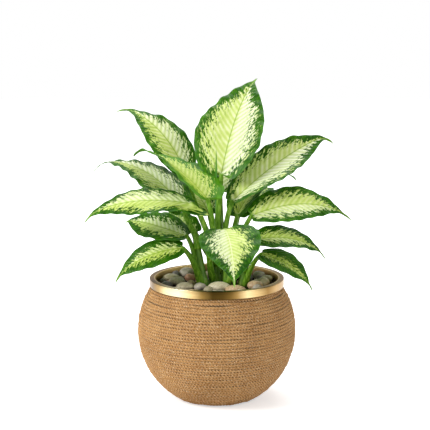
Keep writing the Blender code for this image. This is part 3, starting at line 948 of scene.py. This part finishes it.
def leafMaterial(name, leaf, seed):
    paint = Paint(name + "_skin")
    place = paint.place()
    share = paint.attribute("share")
    width = paint.attribute("across").size()
    vein = paint.attribute("vein")
    top = paint.attribute("top")
    stalk = paint.attribute("stalk")
    reach = paint.attribute("reach")
    off = paint.attribute("across").smooth(-0.01, 0.01) * 13.0 + seed * 3.1

    def grain(acrossVeins, alongVeins, shift, detail=2.0):
        spot = paint.joined(vein * acrossVeins + off, reach * alongVeins, seed * 1.7 + shift)
        return paint.noise(spot, 1.0, detail, 0.55)

    tooth = grain(1.5, 0.11, 0.0)
    fleck = grain(2.3, 0.32, 4.0, 1.5)
    fine = grain(9.0, 0.6, 8.0, 1.0)
    edge = (share.smooth(-0.05, 0.25) * 0.25 + 0.75) * (1.0 - share.smooth(0.5, 0.93) * 0.85) * leaf["cream"]
    if leaf["ear"]:
        edge = edge + share.smooth(0.2, 0.03) * paint.attribute("across").smooth(0.0, -0.4) * 0.35
    inside = edge - width
    wild = (tooth - 0.5) * 1.1 + (fleck - 0.5) * 0.8 + (fine - 0.5) * 0.12
    cream = (inside + wild).smooth(-0.035, 0.035) * width.smooth(0.94, 0.82)
    specks = grain(2.0, 0.4, 12.0, 1.0)
    cream = cream * (1.0 - specks.smooth(0.575, 0.61) * inside.smooth(0.45, 0.1))
    stray = grain(3.2, 0.2, 16.0, 1.0).smooth(0.6, 0.64) * inside.smooth(-0.26, -0.12)
    cream = (cream + stray * 0.8).clamped()
    ripple = (vein * (2 * math.pi)).sine() * 0.5 + 0.5
    cloud = paint.noise(place, 60.0, 3.0, 0.5)
    green = paint.ramp(cloud * 0.4 + fleck * 0.6, [
        (0.3, shade(20, 60, 2)), (0.5, shade(40, 92, 4)), (0.7, shade(84, 140, 14)),
    ])
    young = paint.ramp(cloud, [(0.3, shade(52, 116, 0)), (0.7, shade(92, 156, 8))])
    green = paint.mix(leaf["fresh"], green, young)
    green = paint.mix(width.smooth(0.92, 1.0) * 0.4, green, shade(84, 138, 52))
    # the cream is painted lighter and darker in step with the pleats (ripple), painted light and shade on
    # them
    tone = tooth * 0.38 + ripple * 0.2 + cloud * 0.32 + width.smooth(0.9, 0.1) * 0.08
    yellow = paint.ramp(tone, [
        (0.25, shade(142, 178, 34)), (0.5, shade(184, 208, 78)), (0.75, shade(216, 230, 124)),
    ])
    white = paint.ramp(tone, [
        (0.25, shade(172, 198, 88)), (0.5, shade(206, 220, 134)), (0.75, shade(234, 240, 200)),
    ])
    pale = paint.mix(leaf["pale"], yellow, white)
    # painted sheen: the half of each pale leaf on the positive side of the midrib is painted whiter, more in
    # step with the pleats, as if lit
    sheen = paint.attribute("across").smooth(0.0, 0.16) * width.smooth(0.95, 0.6) * (ripple * 0.5 + 0.4)
    pale = paint.mix(sheen * leaf["pale"] * 0.85, pale, shade(250, 252, 236))
    colour = paint.mix(cream, green, pale)
    rib = shade(232, 240, 186) if leaf["tip"][1] < 0 else shade(118, 156, 38)
    colour = paint.mix(reach.smooth(1.3, 0.45) * 0.7, colour, rib)
    colour = paint.mix(share.smooth(0.86, 0.97) * 0.75, colour, shade(110, 160, 18))
    colour = paint.mix(share.smooth(0.985, 1.0) * 0.5, colour, shade(150, 150, 50))
    below = paint.mix(0.7, colour, shade(92, 148, 56))
    colour = paint.mix(top, below, colour)
    stem = paint.ramp(paint.noise(paint.stretched(place, (500, 500, 60)), 1.0, 3.0, 0.6), [
        (0.3, shade(62, 104, 10)), (0.5, shade(98, 146, 30)), (0.72, shade(150, 186, 74)),
    ])
    colour = paint.mix(stalk, colour, stem)
    height = ripple * 0.3 + fine * 0.35 + cloud * 0.35
    roughness = cream * 0.08 + cloud * 0.12 + 0.32
    normal = paint.bump(height, 0.0006, 0.35)
    return paint.finish(colour=colour, roughness=roughness, specular=0.14, normal=normal)


spike = {"foot": (0, 20, 240), "head": (-1, 10, 396), "radius": 2.8, "rings": 60, "around": 16}


def makeSpike(material):
    foot, head = Vector(spike["foot"]), Vector(spike["head"])
    rings, around = spike["rings"], spike["around"]
    along = (head - foot).normalized()
    side = along.cross(Vector((0, 1, 0))).normalized()
    normal = side.cross(along)
    points, shares = [], []
    for i in range(rings):
        t = i / (rings - 1)
        radius = spike["radius"] * (1 - t ** 4) + 0.05
        for k in range(around):
            angle = 2 * math.pi * k / around
            reach = radius * (1 + 0.12 * math.cos(angle - t * 9))
            way = side * math.cos(angle) + normal * math.sin(angle)
            points.append((foot.lerp(head, t) + way * reach) * mm)
            shares.append(t)
    piece = meshPiece("leaf_rolled_tip", points, tubeFaces(rings, around), {"share": shares})
    faceOutward(piece)
    return settle(piece, material, ["leaf_rolled"])


def spikeMaterial():
    paint = Paint("rolledLeaf")
    place = paint.place()
    share = paint.attribute("share")
    streaks = paint.noise(paint.stretched(place, (700, 700, 40)), 1.0, 3.0, 0.6)
    colour = paint.ramp(streaks * 0.6 + share * 0.4, [
        (0.3, shade(38, 92, 8)), (0.55, shade(62, 128, 16)), (0.8, shade(112, 164, 40)),
    ])
    return paint.finish(colour=colour, roughness=0.42, normal=paint.bump(streaks, 0.0003, 0.4))


print("stage: canes and leaves")
caneSkin = caneMaterial()
for caneName in canes:
    makeCane(caneName, caneSkin)
for seed, (leafName, leaf) in enumerate(leaves.items(), start=1):
    makeLeaf(leafName, leaf, seed, leafMaterial(leafName, leaf, seed))
makeSpike(spikeMaterial())

deselectAll()
